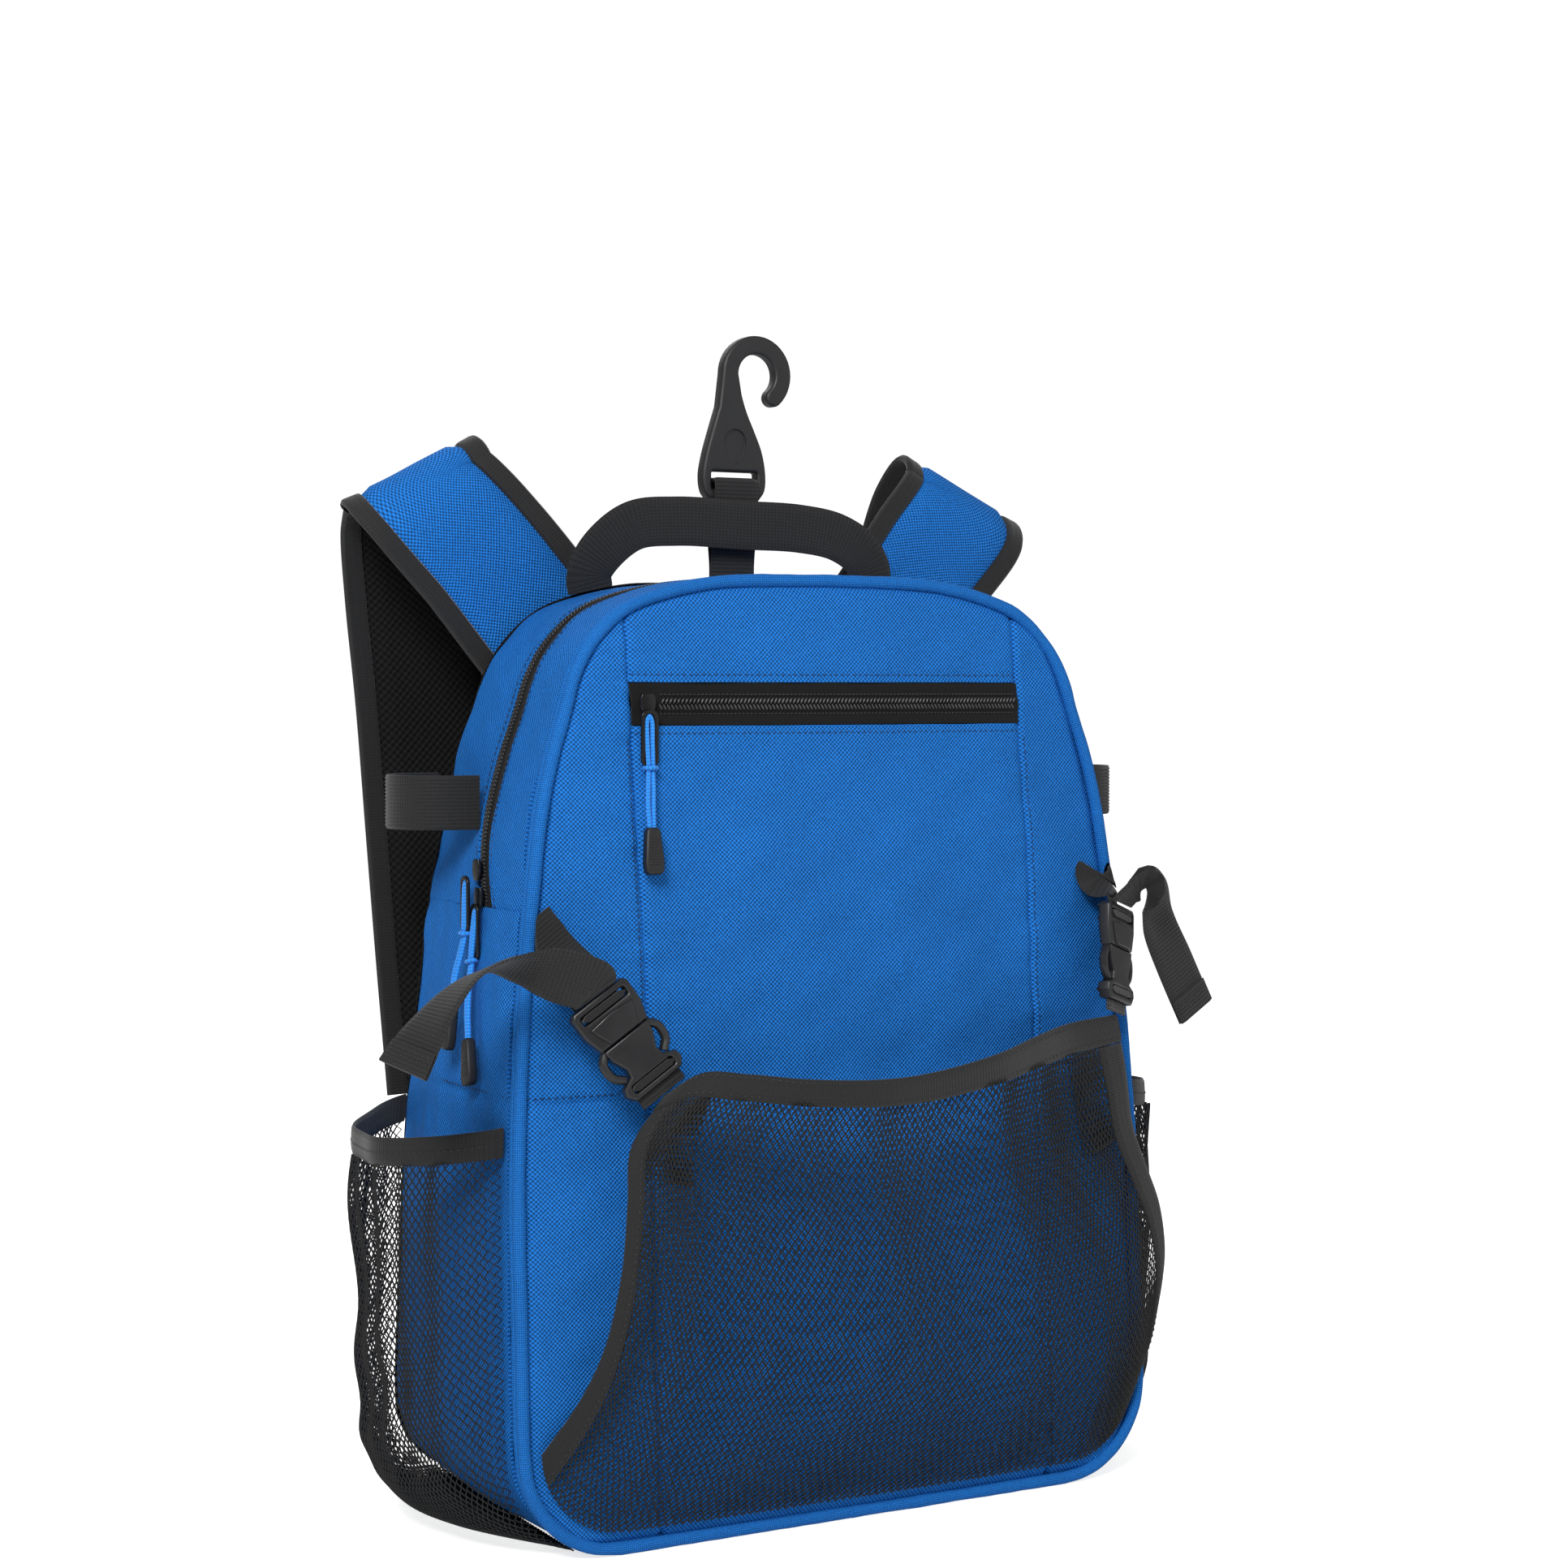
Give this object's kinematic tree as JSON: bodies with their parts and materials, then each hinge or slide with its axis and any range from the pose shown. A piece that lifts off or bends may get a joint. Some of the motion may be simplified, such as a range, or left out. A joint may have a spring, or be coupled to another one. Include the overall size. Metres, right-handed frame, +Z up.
{
  "type": "baseball bat backpack",
  "caption": "Soft sports backpack with an arched top, zipped front pocket, buckled net pocket, side nets and loops for bats, padded straps and a hanging hook.",
  "frame": {"origin": "middle of the underside of the bounding box, on the surface that the bag stands on", "axes": "+Z up, the front with the net pocket faces -Y, and +X is to the right as seen from the front"},
  "size_m": [0.4664, 0.251, 0.583],
  "materials": {
    "blue_cloth": "blue woven polyester with a fine basket weave, coated behind, low sheen",
    "strap_cloth": "blue woven polyester over foam",
    "back_padding": "black padded spacer cloth",
    "zip_tape": "black woven tape with a nylon coil",
    "zip_metal": "black painted zinc",
    "pull_cord": "blue braided polyester cord",
    "cord_tip_plastic": "grey-black soft moulded plastic",
    "net": "black knitted polyester net with small lozenge holes",
    "binding_tape": "black twill binding tape",
    "elastic": "black ribbed elastic",
    "webbing": "black polypropylene webbing with fine ribs",
    "hook_plastic": "black moulded nylon, fine matt",
    "buckle_plastic": "black moulded acetal, satin"
  },
  "bodies": {
    "root": {"front_top_panel": "blue_cloth", "pocket_zip_tape": "zip_tape", "front_pocket_panel": "blue_cloth", "front_side_left": "blue_cloth", "front_side_right": "blue_cloth", "front_piping": "blue_cloth", "gusset_edge_roll": "blue_cloth", "gusset_front": "blue_cloth", "main_zip_tape": "zip_tape", "gusset_back": "blue_cloth", "gusset_side_left": "blue_cloth", "gusset_side_right": "blue_cloth", "base_panel": "blue_cloth", "back_panel": "back_padding", "pocket_zip_slider": "zip_metal", "pocket_zip_tab": "zip_metal", "pocket_zip_cord": "pull_cord", "pocket_zip_cord_tip": "cord_tip_plastic", "main_zip_upper_slider": "zip_metal", "main_zip_upper_tab": "zip_metal", "main_zip_upper_cord": "pull_cord", "main_zip_upper_cord_tip": "cord_tip_plastic", "main_zip_lower_slider": "zip_metal", "main_zip_lower_tab": "zip_metal", "main_zip_lower_cord": "pull_cord", "main_zip_lower_cord_tip": "cord_tip_plastic", "front_net": "net", "front_net_rim": "binding_tape", "front_net_binding_left": "binding_tape", "front_net_binding_right": "binding_tape", "side_net_left": "net", "side_net_rim_left": "binding_tape", "side_net_right": "net", "side_net_rim_right": "binding_tape", "bat_loop_left": "elastic", "bat_loop_right": "elastic", "buckle_strap_left": "webbing", "strap_tail_left": "webbing", "buckle_adjuster_left": "buckle_plastic", "buckle_socket_left": "buckle_plastic", "net_tab_left": "webbing", "buckle_strap_right": "webbing", "strap_tail_right": "webbing", "buckle_adjuster_right": "buckle_plastic", "buckle_socket_right": "buckle_plastic", "net_tab_right": "webbing", "handle": "webbing", "hook": "hook_plastic", "hook_strap": "webbing", "strap_pad_left": "strap_cloth", "strap_binding_inner_left": "binding_tape", "strap_binding_outer_left": "binding_tape", "strap_adjuster_left": "buckle_plastic", "strap_webbing_left": "webbing", "strap_pad_right": "strap_cloth", "strap_binding_inner_right": "binding_tape", "strap_binding_outer_right": "binding_tape", "strap_adjuster_right": "buckle_plastic", "strap_webbing_right": "webbing"}
  },
  "joints": []
}
